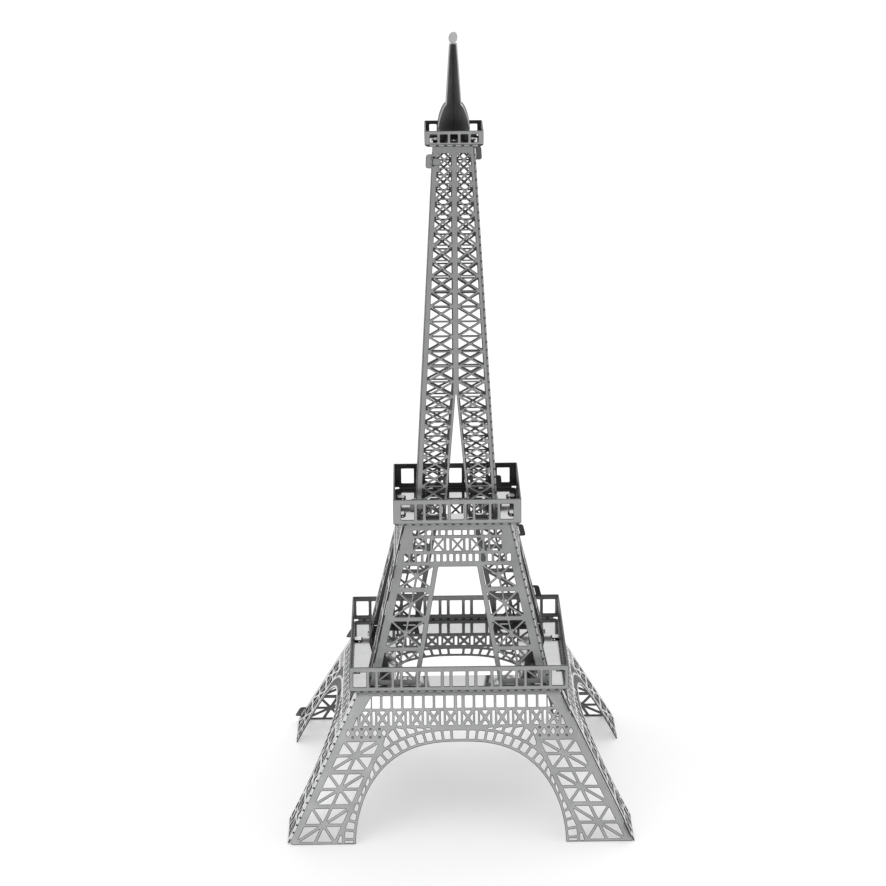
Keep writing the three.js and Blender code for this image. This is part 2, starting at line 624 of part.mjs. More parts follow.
const tower = new THREE.Group();
tower.add(
  ...tierPieces(lower, lowerFace(), ['lower_legs_front_left', 'lower_legs_rear_right']),
  platform('first_platform', FIRST_FLOOR_Z, FIRST_PLATFORM, floorSlots(lower, middle), []),
  ...tierPieces(middle, middleFace(), ['middle_legs_front_right', 'middle_legs_rear_left']),
  platform('second_platform', SECOND_FLOOR_Z, SECOND_PLATFORM, floorSlots(middle, upper), []),
  ...tierPieces(upper, upperFace(), ['upper_tower_front_right', 'upper_tower_rear_left']),
  platform('top_platform', TOP_FLOOR_Z, TOP_PLATFORM, headSlots(upper), spireSlots()),
  spirePlate('spire_plate_with_disc', Math.PI / 4, discOutline(), TOP_FLOOR_Z, HALVING_Z),
  spirePlate('spire_cross_plate', -Math.PI / 4, [], HALVING_Z + JOINT_GAP, TIP_Z),
);

export default tower;
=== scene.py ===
"""Looks of a fold-up souvenir tower of stainless sheet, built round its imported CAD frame.

Every piece is drawn flat in millimetres, as (across, up) on its sheet, pierced, given rounded cut edges,
and then stood in its place. Each tier, platform and spire plate stands for the CAD node of its name.
"""
import bisect
import math
import sys

import bpy
from mathutils import Matrix, Vector
from mathutils.geometry import delaunay_2d_cdt


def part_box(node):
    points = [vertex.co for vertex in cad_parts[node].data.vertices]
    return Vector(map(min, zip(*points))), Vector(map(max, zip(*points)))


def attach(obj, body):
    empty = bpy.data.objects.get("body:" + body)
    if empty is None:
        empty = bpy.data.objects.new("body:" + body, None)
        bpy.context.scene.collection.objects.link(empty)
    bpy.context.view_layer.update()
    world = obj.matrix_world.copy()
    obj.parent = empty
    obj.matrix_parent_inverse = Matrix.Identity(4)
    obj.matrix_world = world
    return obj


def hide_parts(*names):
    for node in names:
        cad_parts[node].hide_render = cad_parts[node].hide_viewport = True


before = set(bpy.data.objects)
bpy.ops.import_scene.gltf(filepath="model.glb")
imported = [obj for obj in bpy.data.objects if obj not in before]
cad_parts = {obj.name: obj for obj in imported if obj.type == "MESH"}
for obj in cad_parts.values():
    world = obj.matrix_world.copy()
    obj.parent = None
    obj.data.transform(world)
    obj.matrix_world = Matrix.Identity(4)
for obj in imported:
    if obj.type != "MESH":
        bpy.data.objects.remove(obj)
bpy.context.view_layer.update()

MM = 0.001

# The sheet, its cut edges and the fits between the pieces
SHEET = 0.25
EDGE = 0.08  # width of the etched slope round an opening
EDGE_DROP = 0.05
JOINT_GAP = 0.06
SLOT_PLAY = 0.12
LAP = 0.08
OUTSIDE, INSIDE, CUT = 0, 1, 2  # which material a face of the sheet wears
# faces that wear a lighter material, painted light: a platform's up-facing floor and the spire's disc
PAINTED_LIT = 3  # the material of a platform's floor, or of the spire's disc

# Floors, tip and feet come from the CAD model; the other half-widths are those of its plan
FIRST_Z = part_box("first_platform")[0].z / MM
SECOND_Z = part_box("second_platform")[0].z / MM
TOP_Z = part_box("top_platform")[0].z / MM
TIP_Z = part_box("spire_plate_with_disc")[1].z / MM
BASE_HALF = -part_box("lower_legs_front_left")[0].y / MM
FIRST_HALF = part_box("first_platform")[1].x / MM
SECOND_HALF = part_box("second_platform")[1].x / MM
TOP_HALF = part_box("top_platform")[1].x / MM
LOWER_TOP_HALF = 17.7
MIDDLE_BASE_HALF = 15.9
MIDDLE_TOP_HALF = 9.45
UPPER_BASE_HALF = 7.2
UPPER_TOP_HALF = 3.6

# Folds, ears and tabs
FOLD = 0.3  # from a corner to where its bend starts
FOLD_PITCH = 1.4
FOLD_GAP = 0.34  # between two bridges of a perforated bend
BEND_STEPS = 5
ETCHED_OUTSIDE = 0.45  # share of the thickness, from the inner side, that a half-etched strip reaches
ETCHED_INSIDE = 0.12  # share that its inner side is moved outwards
RAIL_FOLD = 0.42
RAIL_FOLD_GAP = 0.55
LEAF = 1.3
SIDE_TAB = 1.3
FLOOR_TAB = 2.0
EAR_REACH = 1.1
EAR_MARGIN = 0.55
EAR_ROUND = 0.5
LEAF_ROUND = 0.45

# The arch and its ladder band
ARCH_HALF = 18.1
ARCH_RISE = 17.6
ARCH_SQUARENESS = 2.6
BAND_WIDTH = 2.4
BAND_EDGE = 0.45
LADDER_HOLES = 18
LADDER_FOOT = 1.15
RUNG = 0.46
CROWN_HALF = 1.15


# ---------------------------------------------------------------- drawing on the flat sheet

def point(u, s, r=None):
    """A point of an outline, with the rounding of its corner."""
    return (u, s, r)


def vec(p):
    return Vector((p[0], p[1]))


def cross2(a, b):
    return a.x * b.y - a.y * b.x


def crossing(a, v, b, w):
    """Where the line through a along v meets the line through b along w."""
    return a + v * (cross2(b - a, w) / cross2(v, w))


def lerp(a, b, t):
    return a + (b - a) * t


def flip(loop):
    """A loop mirrored about the middle of its face, still counter-clockwise."""
    return [point(-p[0], p[1], p[2] if len(p) > 2 else None) for p in reversed(loop)]


def both_sides(loops):
    return loops + [flip(loop) for loop in loops]


def soft(loops, radius):
    """Loops with one rounding on all their corners."""
    return [[point(p[0], p[1], radius) for p in loop] for loop in loops]


def inset(corners, margins):
    """A counter-clockwise loop with each edge moved inwards by its own margin."""
    corners = [vec(c) for c in corners]
    edges = []
    for i, corner in enumerate(corners):
        run = (corners[(i + 1) % len(corners)] - corner).normalized()
        edges.append((corner + Vector((-run.y, run.x)) * margins[i], run))
    moved = []
    for i, (start, run) in enumerate(edges):
        before_start, before_run = edges[i - 1]
        spot = crossing(before_start, before_run, start, run)
        moved.append(point(spot.x, spot.y))
    return moved


def rectangle(left, right, bottom, top):
    return [point(left, bottom), point(right, bottom), point(right, top), point(left, top)]


def row(count, pitch, width, bottom, height, middle=0.0):
    """Equal openings side by side, centred on a place across the face."""
    places = [middle + (i - (count - 1) / 2) * pitch for i in range(count)]
    return [rectangle(u - width / 2, u + width / 2, bottom, bottom + height) for u in places]


def braced(corners, edge, brace):
    """The four openings of a cell with two crossed braces."""
    a, b, c, d = [vec(p) for p in corners]
    middle = crossing(a, c - a, b, d - b)
    return [
        inset([corners[i], corners[(i + 1) % 4], middle], [edge / 2, brace / 2, brace / 2])
        for i in range(4)
    ]


def star(corners, edge, brace, across, upright):
    """Openings of a braced cell that an upright bar, and a level one if across isn't 0, also divide."""
    a, b, c, d = [vec(p) for p in corners]
    middle = crossing(a, c - a, b, d - b)
    openings = []
    for i in range(4):
        start, end = vec(corners[i]), vec(corners[(i + 1) % 4])
        bar = across if i % 2 else upright
        if bar == 0:
            openings.append(inset([start, end, middle], [edge / 2, brace / 2, brace / 2]))
            continue
        halfway = (start + end) / 2
        openings.append(inset([start, halfway, middle], [edge / 2, bar / 2, brace / 2]))
        openings.append(inset([halfway, end, middle], [edge / 2, brace / 2, bar / 2]))
    return openings


def cell(inner, outer, low, high):
    """Corners of a cell between two lines that lean with the face."""
    return [(inner(low), low), (outer(low), low), (outer(high), high), (inner(high), high)]


def rounded(loop, radius, steps, room=0.0):
    """A loop with its sharp corners rounded, each by its own radius or by the one given, or by what an
    offset of the loop needs to have room."""
    spots = [vec(p) for p in loop]
    smooth = []
    for i, spot in enumerate(spots):
        own = loop[i][2] if len(loop[i]) > 2 and loop[i][2] is not None else radius
        back, ahead = spots[i - 1] - spot, spots[(i + 1) % len(spots)] - spot
        bend = back.normalized().dot(ahead.normalized())
        straight = bend < -0.95
        if room and cross2(ahead, back) > 0:
            own = max(own, 1.7 * room * math.sqrt((1 + bend) / (1 - bend)))
        cut = min(own, 0.45 * back.length, 0.45 * ahead.length)
        if straight or cut < 0.01:
            smooth.append(spot)
            continue
        first, last = spot + back.normalized() * cut, spot + ahead.normalized() * cut
        for k in range(steps + 1):
            t = k / steps
            smooth.append(first * (1 - t) ** 2 + spot * 2 * t * (1 - t) + last * t ** 2)
    return smooth


# ---------------------------------------------------------------- from flat drawings to solid sheet

class Sheet:
    """Collects the plates and bends of one folded piece, in millimetres, and turns them into one mesh."""

    def __init__(self, seed):
        self.seed = seed
        self.spots, self.faces, self.wears, self.places = [], [], [], []

    def add(self, spots, faces, wears, places):
        first = len(self.spots)
        self.spots += spots
        self.places += places
        self.faces += [tuple(first + k for k in f) for f in faces]
        self.wears += wears

    def plate(self, outline, holes, matrix, top=0.0, thick=SHEET, turned=False):
        """A pierced plate whose upper side is at a height over the drawing plane. turned swaps its sides."""
        loops = [rounded(outline, 0.12, 3, EDGE)] + [rounded(hole, 0.16, 3) for hole in holes]
        rim, cap, spans = [], [], []
        for number, loop in enumerate(loops):
            spans.append((len(rim), len(loop)))
            side = 1 if number == 0 else -1
            for i, spot in enumerate(loop):
                before = (spot - loop[i - 1]).normalized()
                after = (loop[(i + 1) % len(loop)] - spot).normalized()
                normal = Vector((-before.y - after.y, before.x + after.x)).normalized()
                grow = EDGE / max(0.4, normal.dot(Vector((-before.y, before.x))))
                rim.append(spot)
                cap.append(spot + normal * grow * side)
        found = delaunay_2d_cdt(cap, [], [list(range(a, a + n)) for a, n in spans], 2, 1e-7)
        if len(found[0]) != len(cap):
            print(f"plate of sheet {self.seed}: {len(found[0]) - len(cap)} crossings", file=sys.stderr)
        back = [origin[0] if origin else 0 for origin in found[3]]
        count = len(rim)
        heights = (top, top - EDGE_DROP, top - thick + EDGE_DROP, top - thick)
        rings = (cap, rim, rim, cap)
        spots = [matrix @ Vector((p.x, p.y, z)) for ring, z in zip(rings, heights) for p in ring]
        shift = 37.0 * self.seed + 11.0 * len(self.faces)
        places = [(p.x + shift, p.y, z) for ring, z in zip(rings, heights) for p in ring]
        upper = [tuple(back[k] for k in tri) for tri in found[2]]
        lower = [tuple(3 * count + k for k in reversed(tri)) for tri in upper]
        walls = []
        for number, (start, length) in enumerate(spans):
            for i in range(length):
                a, b = start + i, start + (i + 1) % length
                if number:
                    a, b = b, a
                for level in range(3):
                    high, low = level * count, (level + 1) * count
                    walls.append((low + a, low + b, high + b, high + a))
        wears = [INSIDE if turned else OUTSIDE] * len(upper) + [OUTSIDE if turned else INSIDE] * len(lower)
        self.add(spots, upper + lower + walls, wears + [CUT] * len(walls), places)

    def bend(self, start, end, first_normal, second_normal, reach=FOLD, gap=FOLD_GAP):
        """A perforated bend along an outer corner, between plates that lie a reach back from it."""
        line = (end - start).normalized()
        first_run = first_normal.cross(line).normalized()
        if first_run.dot(second_normal) > 0:
            first_run.negate()
        second_run = second_normal.cross(line).normalized()
        if second_run.dot(first_normal) > 0:
            second_run.negate()
        outer = (first_run * reach, Vector((0, 0, 0)), second_run * reach)
        share = SHEET / (1 + first_normal.dot(second_normal))
        inner = (
            outer[0] - first_normal * SHEET, -(first_normal + second_normal) * share,
            outer[2] - second_normal * SHEET,
        )
        steps = BEND_STEPS

        def arc(c):
            shares = [k / steps for k in range(steps + 1)]
            return [c[0] * (1 - t) ** 2 + c[1] * 2 * t * (1 - t) + c[2] * t ** 2 for t in shares]

        section = arc(outer) + arc(inner)[::-1]
        mid = sum(section, Vector()) / len(section)
        turn = (section[1] - mid).cross(section[2] - mid).dot(line)
        if turn < 0:
            section.reverse()
        length = (end - start).length
        parts = max(1, round(length / FOLD_PITCH))
        step = length / parts
        n = len(section)
        outer_strip = range(steps) if turn > 0 else range(n - 1 - steps, n - 1)
        inner_strip = range(steps + 1, n - 1) if turn > 0 else range(0, steps)
        for i in range(parts):
            low, high = i * step + gap / 2, (i + 1) * step - gap / 2
            spots, places, faces, wears = [], [], [], []
            for along in (low, high):
                spots += [start + line * along + p for p in section]
                places += [(17.0 * self.seed + k * 0.1, along, 0.0) for k in range(n)]
            for k in range(n):
                j = (k + 1) % n
                faces.append((k, j, n + j, n + k))
                wears.append(OUTSIDE if k in outer_strip else INSIDE if k in inner_strip else CUT)
            faces += [tuple(reversed(range(n))), tuple(range(n, 2 * n))]
            self.add(spots, faces, wears + [CUT, CUT], places)
        # behind the gaps a thinner strip, etched half through, in the cut-edge material, whose dark tone
        # paints shade into the gaps
        half = len(section) // 2
        etched = []
        for k, p in enumerate(section):
            over = section[n - 1 - k]
            outside = (k < half) == (turn > 0)
            etched.append(over.lerp(p, ETCHED_OUTSIDE) if outside else p.lerp(over, ETCHED_INSIDE))
        spots = [start + line * along + p for along in (gap, length - gap) for p in etched]
        places = [(17.0 * self.seed, along, 0.0) for along in (gap, length - gap) for k in range(n)]
        faces = [(k, (k + 1) % n, n + (k + 1) % n, n + k) for k in range(n)]
        faces += [tuple(reversed(range(n))), tuple(range(n, 2 * n))]
        self.add(spots, faces, [CUT] * (n + 2), places)

    def finish(self, name, materials, node):
        """The mesh as a Blender object in metres, in place of a CAD node."""
        mesh = bpy.data.meshes.new(name)
        mesh.from_pydata([tuple(p * MM) for p in self.spots], [], self.faces)
        place = mesh.attributes.new("sheet_place", "FLOAT_VECTOR", "POINT")
        place.data.foreach_set("vector", [x for p in self.places for x in p])
        for material in materials:
            mesh.materials.append(material)
        mesh.polygons.foreach_set("material_index", self.wears)
        mesh.update()
        piece = bpy.data.objects.new(name, mesh)
        bpy.context.scene.collection.objects.link(piece)
        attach(piece, "root")
        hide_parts(node)
        return piece


# ---------------------------------------------------------------- the tiers

class Tier:
    """Four leaning faces that start at a height. Distances up a face run along its slope."""

    def __init__(self, z, height, bottom, top, **rest):
        self.z, self.height, self.bottom, self.top = z, height, bottom, top
        self.lean = math.atan2(bottom - top, height)
        self.slope = height / math.cos(self.lean)
        self.plan = SHEET / math.cos(self.lean)
        self.drop = SHEET * math.sin(self.lean)
        self.__dict__.update(rest)
        self.joints = [self.ears[0], self.slope - self.ears[1]]

    def half(self, s):
        return self.bottom - s * math.sin(self.lean)

    def quarter_turn(self, quarter):
        return Matrix.Translation((0, 0, self.z)) @ Matrix.Rotation(quarter * math.pi / 2, 4, "Z")

    def face(self, quarter):
        stand = Matrix.Rotation(math.pi / 2 - self.lean, 4, "X")
        return self.quarter_turn(quarter) @ Matrix.Translation((0, -self.bottom, 0)) @ stand


def tier_between(floor, next_floor, bottom, top, **rest):
    lean = math.atan2(bottom - top, next_floor - floor)
    z = floor + SHEET * (1 + math.sin(lean)) + JOINT_GAP
    return Tier(z, next_floor - JOINT_GAP - z, bottom, top, **rest)


lower = Tier(
    0, FIRST_Z - JOINT_GAP, BASE_HALF, LOWER_TOP_HALF, even_open=1, eared=(1, 2),
    ears=(2.4, 2.3), foot_tabs=(), head_tabs=(-8, 8), head_bend=-1,
)
middle = tier_between(
    FIRST_Z, SECOND_Z, MIDDLE_BASE_HALF, MIDDLE_TOP_HALF, even_open=-1, eared=(2, 3),
    ears=(7, 8.1), foot_tabs=(4.5 - MIDDLE_BASE_HALF, MIDDLE_BASE_HALF - 4.5),
    head_tabs=(-5, 5), head_bend=-1,
)
upper = tier_between(
    SECOND_Z, TOP_Z, UPPER_BASE_HALF, UPPER_TOP_HALF, even_open=-1, eared=(0, 2),
    ears=(2.2, 2.6), foot_tabs=(3 - UPPER_BASE_HALF, UPPER_BASE_HALF - 3), head_tabs=(0,), head_bend=1,
)


def arch_at(share, grow):
    """A point of the arch's right half, or of a curve outside it."""
    turn = share * math.pi / 2
    across = max(math.cos(turn), 0.0) ** (2 / ARCH_SQUARENESS)
    return Vector(((ARCH_HALF + grow) * across, (ARCH_RISE + grow) * math.sin(turn)))


LEG_STILE = (1.2, 1.5)  # from a corner of the tower to the braced strip, at its foot and head
LEG_INNER = 8.15  # from the corner to the far side of that strip
LEG_STRIP_EDGE = 0.6
LEG_CELLS = ((0.32, 6.48), (6.73, 12.4), (12.65, 17.98))  # foot and head of each
SPANDREL_ANGLES = (46.8, 51.5, 56.2, 60.4, 64.5, 68.8, 73.1, 76.8, 79.5)  # from the middle of the arch's foot
SPANDREL_BAR = 0.48
SPANDREL_TOP = 19.95
LADDER_SAMPLES = 900
ARCH_STEPS = 72
DIAMOND_AT = 13.12  # the innermost of a row
DIAMOND_PITCH = 1.55
DIAMOND_HALF = 0.42
DIAMOND_HEIGHTS = (18.55, 19.2, 19.85)  # foot, middle and head
DOT_RADIUS = 0.15
DOT_HEIGHTS = (18.5, 19.9)
DOT_RECESS = 0.11
FRIEZE_BOXES = 12
FRIEZE_PITCH = 2.97
FRIEZE_BOX_HALF = 0.93
FRIEZE_BOX = (20.4, 23.06)
WINDOW_FOOT = 23.44
WINDOW_HEIGHT = 2.2


def leg_outer(s):
    return lower.half(s) - lerp(*LEG_STILE, s / 18)


def leg_inner(s):
    return lower.half(s) - LEG_INNER


def ladder():
    """The openings between the rungs of the arch's band, and the crown's."""
    count = LADDER_SAMPLES
    middle_line = [arch_at(i / count, BAND_WIDTH / 2) for i in range(count + 1)]
    reach = [0.0]
    for a, b in zip(middle_line, middle_line[1:]):
        reach.append(reach[-1] + (b - a).length)

    def share_at(length):
        k = min(bisect.bisect(reach, length), count)
        return (k - 1 + (length - reach[k - 1]) / (reach[k] - reach[k - 1])) / count

    def opening(start, end):
        far = []
        for share in (start, end):
            free = arch_at(share, BAND_WIDTH - BAND_EDGE)
            far.append((min(free.x, leg_inner(free.y) - LEG_STRIP_EDGE), free.y))
        near = [arch_at(share, BAND_EDGE) for share in (start, end)]
        return [tuple(near[0]), far[0], far[1], tuple(near[1])]

    crown_from = reach[-1] - CROWN_HALF
    pitch = (crown_from - LADDER_FOOT) / LADDER_HOLES
    starts = [LADDER_FOOT + i * pitch for i in range(LADDER_HOLES)]
    openings = [opening(share_at(a), share_at(a + pitch - RUNG)) for a in starts]
    return openings, opening(share_at(crown_from), 1.0)


def spandrels():
    """The tapering openings between thin bars that radiate from the arch."""
    angles = [math.radians(a) for a in SPANDREL_ANGLES]
    leg_foot = leg_inner(0) - 0.5

    def band_reach(angle):
        low, high = 0.0, ARCH_HALF + ARCH_RISE
        while high - low > 1e-4:
            half = (low + high) / 2
            across = (half * math.cos(angle) / (ARCH_HALF + BAND_WIDTH)) ** ARCH_SQUARENESS
            if across + (half * math.sin(angle) / (ARCH_RISE + BAND_WIDTH)) ** 2 < 1:
                low = half
            else:
                high = half
        return low

    def edge_reach(angle):
        to_leg = leg_foot / (math.cos(angle) + math.sin(lower.lean) * math.sin(angle))
        return min(SPANDREL_TOP / math.sin(angle), to_leg)

    def end(angle, reach, side):
        return (
            reach * math.cos(angle) + math.sin(angle) * side * SPANDREL_BAR / 2,
            reach * math.sin(angle) - math.cos(angle) * side * SPANDREL_BAR / 2,
        )

    openings = []
    for start, stop in zip(angles, angles[1:]):
        while start < stop and edge_reach(start) - band_reach(start) < 0.3:
            start += 0.002
        if stop - start < 0.03:
            continue
        openings.append([
            end(start, band_reach(start), -1), end(start, edge_reach(start), -1),
            end(stop, edge_reach(stop), 1), end(stop, band_reach(stop), 1),
        ])
    return openings


def dots():
    """Places of the etched dots between the diamonds on the right side of a lower face."""
    return [(DIAMOND_AT + (i + 0.5) * DIAMOND_PITCH, s) for i in range(4) for s in DOT_HEIGHTS]


def ring(place, radius, count=10):
    angles = [2 * math.pi * i / count for i in range(count)]
    return [(place[0] + radius * math.cos(a), place[1] + radius * math.sin(a), 0) for a in angles]


def lower_face():
    """The arch and the openings of a lower face."""
    legs = []
    for low, high in LEG_CELLS:
        legs += star(cell(leg_inner, leg_outer, low, high), 0.5, 0.5, 0.52, 0.52)
    rungs, crown = ladder()
    rungs.append(rectangle(ARCH_HALF + BAND_EDGE, ARCH_HALF + BAND_WIDTH - BAND_EDGE, 0.32, 0.72))
    diamonds = []
    foot, middle_height, head = DIAMOND_HEIGHTS
    for i in range(5):
        u = DIAMOND_AT + i * DIAMOND_PITCH
        sides = (u + DIAMOND_HALF, middle_height), (u - DIAMOND_HALF, middle_height)
        diamonds.append([(u, foot), sides[0], (u, head), sides[1]])
    boxes = []
    for i in range(FRIEZE_BOXES):
        u = (i - (FRIEZE_BOXES - 1) / 2) * FRIEZE_PITCH
        boxes += braced(rectangle(u - FRIEZE_BOX_HALF, u + FRIEZE_BOX_HALF, *FRIEZE_BOX), 0.12, 0.5)
    windows = row(8, 1.83, 1.4, WINDOW_FOOT, WINDOW_HEIGHT, 8.05)
    windows += row(8, 1.83, 1.4, WINDOW_FOOT, WINDOW_HEIGHT, -8.05)
    ends = [[(15.35, 23.5), (16.5, 23.5), (15.35, 25.4)], [(17.62, 20.42), (18.4, 20.42), (17.75, 22.0)]]
    foot_eye = [(20.5, 0.35), (21.25, 0.35), (20.85, 1.6), (20.5, 1.6)]
    slots = row(FRIEZE_BOXES - 1, FRIEZE_PITCH, 0.48, 20.48, 2.5)
    slots += row(1, 1.0, 0.8, WINDOW_FOOT, WINDOW_HEIGHT)
    holes = both_sides(legs + soft(rungs + spandrels(), 0.22) + diamonds + ends + [foot_eye])
    holes += both_sides([ring(place, DOT_RADIUS) for place in dots()])
    holes.append([tuple(crown[0]), tuple(crown[1]), *[(-p[0], p[1]) for p in (crown[1], crown[0])]])
    notch = [tuple(arch_at(i / ARCH_STEPS, 0)) for i in range(ARCH_STEPS + 1)]
    return notch, holes + soft(boxes, 0.26) + windows + slots


GATE_TOP = 20.6
MIDDLE_CELLS = ((0.65, 6.15), (6.35, 11.35), (11.6, 16.45), (16.75, 21.05))
MIDDLE_BOX_PITCH = 3.35
MIDDLE_BOX_HALF = 1.02
MIDDLE_BOX = (23.3, 25.62)
MIDDLE_WINDOW_FOOT = 26.1
MIDDLE_WINDOW_HEIGHT = 0.86


def gate(s):
    """Half the width of the middle tier's gate."""
    return lerp(7.0, 3.4, s / GATE_TOP)


def middle_face():
    """The gate and the openings of a middle face."""
    inner = lambda s: gate(s) + 0.58
    outer = lambda s: middle.half(s) - 1.5
    legs = []
    for low, high in MIDDLE_CELLS:
        legs += star(cell(inner, outer, low, high), 0.56, 0.38, 0, 0.36)
    holes = both_sides(legs)
    holes += row(17, 1.12, 0.66, 21.5, 1.3)
    for i in range(5):
        u = (i - 2) * MIDDLE_BOX_PITCH
        holes += braced(rectangle(u - MIDDLE_BOX_HALF, u + MIDDLE_BOX_HALF, *MIDDLE_BOX), 0.12, 0.32)
    holes += row(4, MIDDLE_BOX_PITCH, 0.55, 23.4, 2.15)
    for side in (1, -1):
        holes += row(6, 1.2, 0.78, MIDDLE_WINDOW_FOOT, MIDDLE_WINDOW_HEIGHT, side * 4.3)
    holes += row(1, 1, 1.3, MIDDLE_WINDOW_FOOT, MIDDLE_WINDOW_HEIGHT)
    return [(gate(0), 0, 0.05), (gate(GATE_TOP), GATE_TOP, 0.25)], holes


FORK_HALF = 2.0
FORK_TOP = 22
UPPER_CELLS = 24


def upper_face():
    """The long fork that splits the foot of an upper face, and its openings."""
    bottom, top = 0.3, upper.slope - 1.15
    outer = lambda s: upper.half(s) - 0.76
    inner = lambda s: max(lerp(FORK_HALF, 0.0, s / FORK_TOP), 0.0) + 0.36
    holes = []
    for i in range(UPPER_CELLS):
        low, high = (lerp(bottom, top, k / UPPER_CELLS) for k in (i, i + 1))
        holes += braced(cell(inner, outer, low, high), 0.26, 0.34)
    return [(FORK_HALF, 0, 0.05), (0.09, 21.9)], both_sides(holes)


# ---------------------------------------------------------------- outlines of the faces

def side_edge(level, foot, head, trim, kind):
    """The right edge of a face, trimmed back from the corner, with its ears or tabs."""
    edge = lambda s, past, r=None: point(level.half(s) + past, s, r)
    path = [edge(foot, -trim)]
    for at in level.joints:
        if kind == "ear":
            low, high = at - SIDE_TAB / 2 - EAR_MARGIN, at + SIDE_TAB / 2 + EAR_MARGIN
            path += [edge(low, -trim), edge(low, EAR_REACH, EAR_ROUND)]
            path += [edge(high, EAR_REACH, EAR_ROUND), edge(high, -trim)]
        if kind == "tab":
            low, high = at - SIDE_TAB / 2, at + SIDE_TAB / 2
            reach = JOINT_GAP + SHEET - LAP
            path += [edge(low, -trim), edge(low, reach), edge(high, reach), edge(high, -trim)]
    return path + [edge(head, -trim)]


def ear_slot(level, at):
    low = at - SIDE_TAB / 2 - SLOT_PLAY - SHEET * math.tan(level.lean)
    high = at + SIDE_TAB / 2 + SLOT_PLAY
    inside = -level.plan - SLOT_PLAY
    edge = lambda s, past: (level.half(s) + past, s, 0.03)
    return [edge(low, inside), edge(low, SLOT_PLAY), edge(high, SLOT_PLAY), edge(high, inside)]


def edge_tabs(places, edge, run):
    tabs = []
    for u in places:
        tabs += [(u - FLOOR_TAB / 2, edge), (u - FLOOR_TAB / 2, edge + run)]
        tabs += [(u + FLOOR_TAB / 2, edge + run), (u + FLOOR_TAB / 2, edge)]
    return tabs


def head_tab_run(level):
    """How far a head tab runs up past the head of its face."""
    return (2 * (SHEET + JOINT_GAP) - LAP) / math.cos(level.lean)


def foot_tab_run(level):
    """How far a foot tab runs down past the foot of its face."""
    return (3 * SHEET + 2 * JOINT_GAP - LAP) / math.cos(level.lean)


def face_outline(level, notch, right, left, foot, head):
    """A face's outline, with its notch and its tabs, between the two side edges."""
    head_run = level.slope + head_tab_run(level) - head
    foot_run = foot_tab_run(level) + foot
    feet = lambda side: edge_tabs([u for u in level.foot_tabs if u * side > 0], foot, -foot_run)
    heads = edge_tabs(level.head_tabs, head, head_run)[::-1]
    gate = [(notch[0][0], foot), *[p for p in notch if p[1] > foot + 0.02]] if notch else []
    mirror = [(-p[0], *p[1:]) for p in gate]
    return [*feet(-1), *mirror, *gate[::-1], *feet(1), *right, *heads, *flip(left)]


def leaf_outline(width):
    half = width / 2 - LAP / 2
    return [
        point(-half, -0.02), point(half, -0.02),
        point(half, LEAF, LEAF_ROUND), point(-half, LEAF, LEAF_ROUND),
    ]


def tier_sheet(level, face, quarters, seed):
    """One folded sheet of a tier: an even and an odd face, joined along their shared corner."""
    notch, holes = face
    sheet = Sheet(seed)
    for quarter in quarters:
        eared = quarter in level.eared
        place = level.face(quarter)
        foot = SHEET * math.tan(level.lean) if level.z == 0 else 0.0
        head = level.slope
        folded = side_edge(level, foot, head, FOLD, "plain")
        if level.z == 0:
            folded[0] = point(folded[0][0], foot, 0.9)
        if eared:
            opened = side_edge(level, foot, head, 0, "ear")
        else:
            opened = side_edge(level, foot, head, level.plan + JOINT_GAP, "tab")
        open_side = level.even_open if quarter % 2 == 0 else -level.even_open
        right, left = (opened, folded) if open_side > 0 else (folded, opened)
        slots = [ear_slot(level, at) for at in level.joints] if eared else []
        slots = slots if open_side > 0 else [flip(s) for s in slots]
        outline = face_outline(level, notch, right, left, foot, head)
        sheet.plate(outline, holes + slots, place)
        if level is lower:
            for disc in both_sides([ring(spot, DOT_RADIUS + 0.03) for spot in dots()]):
                sheet.plate(disc, [], place, top=-DOT_RECESS, thick=0.12)
        floor_leaves(sheet, level, quarter)
        if not eared:
            side_leaves(sheet, level, quarter, open_side)
    fold(sheet, level, quarters[0])
    return sheet


def floor_leaves(sheet, level, quarter):
    """The bent-over ends of the tabs at the head and foot of a face."""
    around = level.quarter_turn(quarter)

    def leaf(u, s, z, bend):
        place = around @ Matrix.Translation((u, level.plan / 2 - level.half(s), z))
        place = place @ Matrix.Rotation(0 if bend > 0 else math.pi, 4, "Z")
        sheet.plate(leaf_outline(FLOOR_TAB), [], place, top=SHEET)

    for u in level.head_tabs:
        leaf(u, level.slope + head_tab_run(level), level.height + 2 * JOINT_GAP + SHEET, level.head_bend)
    for u in level.foot_tabs:
        leaf(u, -foot_tab_run(level), -2 * (SHEET + JOINT_GAP) - level.drop - SHEET, 1)


def side_leaves(sheet, level, quarter, open_side):
    """The bent-over ends of the tabs on a face's open side, flat on the eared face round the corner."""
    for at in level.joints:
        along = -open_side * (math.pi / 2 + math.atan(math.sin(level.lean)))
        move = Matrix.Translation((-open_side * (level.half(at) - level.plan / 2), at, 0))
        place = level.face(quarter + open_side) @ move @ Matrix.Rotation(along, 4, "Z")
        sheet.plate(leaf_outline(SIDE_TAB), [], place, top=JOINT_GAP + SHEET)


def fold(sheet, level, even_quarter):
    """The perforated bend along the corner that the two faces of a sheet share."""
    around = level.quarter_turn(even_quarter)
    corner = -level.even_open
    foot, head = (1.0 if level.z == 0 else 0.15), level.slope - 0.15

    def on_corner(s):
        half = level.half(s)
        return around @ Vector((corner * half, -half, s * math.cos(level.lean)))

    cos, sin = math.cos(level.lean), math.sin(level.lean)
    spin = around.to_3x3()
    first, second = spin @ Vector((0, -cos, sin)), spin @ Vector((corner * cos, 0, sin))
    sheet.bend(on_corner(foot), on_corner(head), first, second)


# ---------------------------------------------------------------- platforms

def head_slots(level):
    outside = -level.top - SLOT_PLAY
    inside = -level.top + level.plan + (SHEET + JOINT_GAP) * math.tan(level.lean) + SLOT_PLAY
    half = FLOOR_TAB / 2 + SLOT_PLAY
    return [rectangle(u - half, u + half, outside, inside) for u in level.head_tabs]


